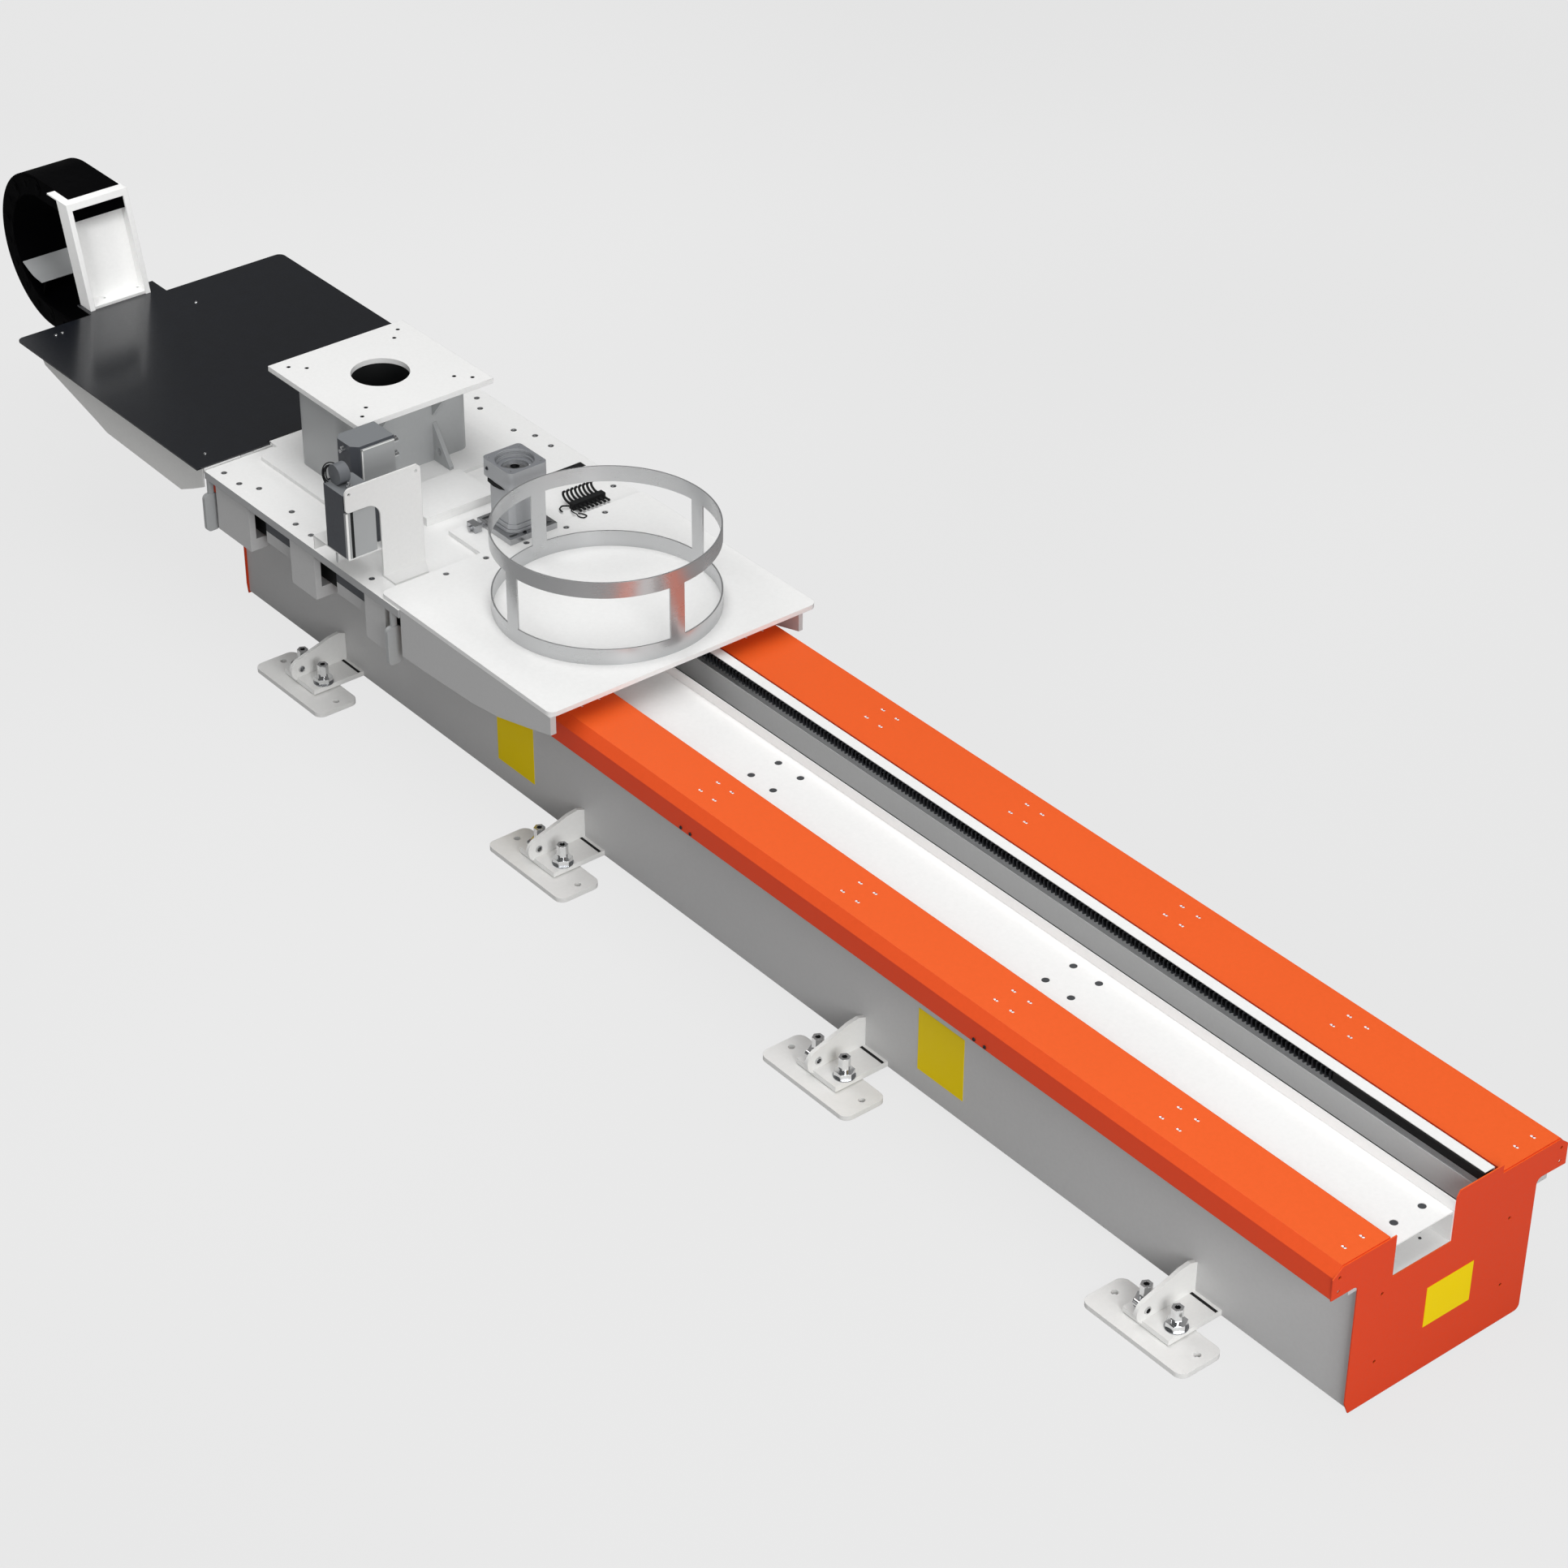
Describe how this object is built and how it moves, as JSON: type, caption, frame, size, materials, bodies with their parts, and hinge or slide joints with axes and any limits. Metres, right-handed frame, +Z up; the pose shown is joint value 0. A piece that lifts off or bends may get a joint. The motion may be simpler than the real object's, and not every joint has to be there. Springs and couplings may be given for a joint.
{
  "type": "ground rail track",
  "caption": "Floor-standing linear track that carries a robot: orange-covered beam, rack-driven carriage with robot pedestal, reducer, wire-drum ring and energy chain.",
  "frame": {"origin": "middle of the bounding box on the floor: half-way between the near end plate's sign and the far end of the energy chain's bend, on the track's centre line", "axes": "+X runs along the track towards its near end, the way the carriage travels from rest; +Y across it, away from the viewer of the picture; +Z up"},
  "size_m": [5.3637, 0.872, 0.773],
  "materials": {
    "steel_grey": "satin grey paint",
    "pale_plate": "pale grey satin paint",
    "orange_paint": "satin orange paint",
    "white_paint": "satin white paint",
    "machined_steel": "machined steel",
    "rack_steel": "ground and oiled steel",
    "rail_steel": "ground bright steel",
    "bolt_chrome": "bright plated steel",
    "rubber_black": "matt black rubber",
    "sign_yellow": "plain yellow enamel",
    "carriage_grey": "satin grey paint",
    "platform_dark": "satin dark blue-grey paint",
    "stainless": "brushed stainless steel",
    "cast_alloy": "clear anodised",
    "box_paint": "satin dark grey paint",
    "panel_grey": "smooth grey",
    "chain_plastic": "deep black"
  },
  "bodies": {
    "track": {"beam": "steel_grey", "foot_brackets": "pale_plate", "floor_plates": "pale_plate", "levelling_screws": "bolt_chrome", "levelling_nuts": "bolt_chrome", "front_cover": "orange_paint", "back_cover": "orange_paint", "cover_brackets": "steel_grey", "cover_screws": "bolt_chrome", "near_end_plate": "orange_paint", "far_end_plate": "orange_paint", "duct_channel": "white_paint", "duct_lid": "white_paint", "rack_support": "steel_grey", "rack_bed": "machined_steel", "rack": "rack_steel", "rack_cover_strip": "white_paint", "front_rail": "rail_steel", "back_rail": "rail_steel", "rail_end_stops": "steel_grey", "stop_buffers": "rubber_black", "sign_plates": "sign_yellow"},
    "carriage": {"main_plate": "white_paint", "front_legs": "steel_grey", "back_legs": "steel_grey", "rail_blocks": "rail_steel", "block_seals": "rubber_black", "dust_curtains": "rubber_black", "curtain_bars": "box_paint", "guide_posts": "carriage_grey", "ring_plate": "white_paint", "ring_skirts": "steel_grey", "platform": "platform_dark", "platform_frame": "steel_grey", "platform_skirts": "carriage_grey", "pedestal_base": "white_paint", "pedestal_column": "carriage_grey", "pedestal_gussets": "carriage_grey", "robot_plate": "white_paint", "carriage_bolts": "bolt_chrome", "reducer_flange": "machined_steel", "reducer_body": "cast_alloy", "reducer_head": "cast_alloy", "reducer_adjuster": "machined_steel", "drum_ring": "stainless", "sheet_bracket": "stainless", "lubricator_body": "box_paint", "lubricator_front": "panel_grey", "lubricator_cap": "box_paint", "junction_box": "box_paint", "junction_panel": "panel_grey", "chrome_clips": "bolt_chrome", "distributor": "rubber_black", "tow_bracket": "white_paint", "chain_end": "chain_plastic"},
    "pinion": {"pinion": "rack_steel", "pinion_shaft": "bolt_chrome"},
    "input_hub": {"input_hub": "bolt_chrome"},
    "chain": {"chain_bend": "chain_plastic", "chain_lower_run": "chain_plastic"}
  },
  "joints": [
    {"name": "carriage_slide", "type": "slide", "parent": "track", "child": "carriage", "axis": [1, 0, 0], "range_m": [0, 2.28]},
    {"name": "pinion_spin", "type": "hinge", "parent": "carriage", "child": "pinion", "pos_m": [-0.5169, 0.048, 0.5], "axis": [0, 0, 1], "range_deg": [0, 3111]},
    {"name": "input_spin", "type": "hinge", "parent": "carriage", "child": "input_hub", "pos_m": [-0.5169, 0.048, 0.62], "axis": [0, 0, 1], "range_deg": [0, 15552]},
    {"name": "chain_slide", "type": "slide", "parent": "carriage", "child": "chain", "axis": [1, 0, 0], "range_m": [-1.14, 0]}
  ],
  "couplings": [
    {"joint": "pinion_spin", "follows": "carriage_slide", "rad_per_m": 23.81},
    {"joint": "input_spin", "follows": "carriage_slide", "rad_per_m": 119.05},
    {"joint": "chain_slide", "follows": "carriage_slide", "ratio": -0.5}
  ]
}
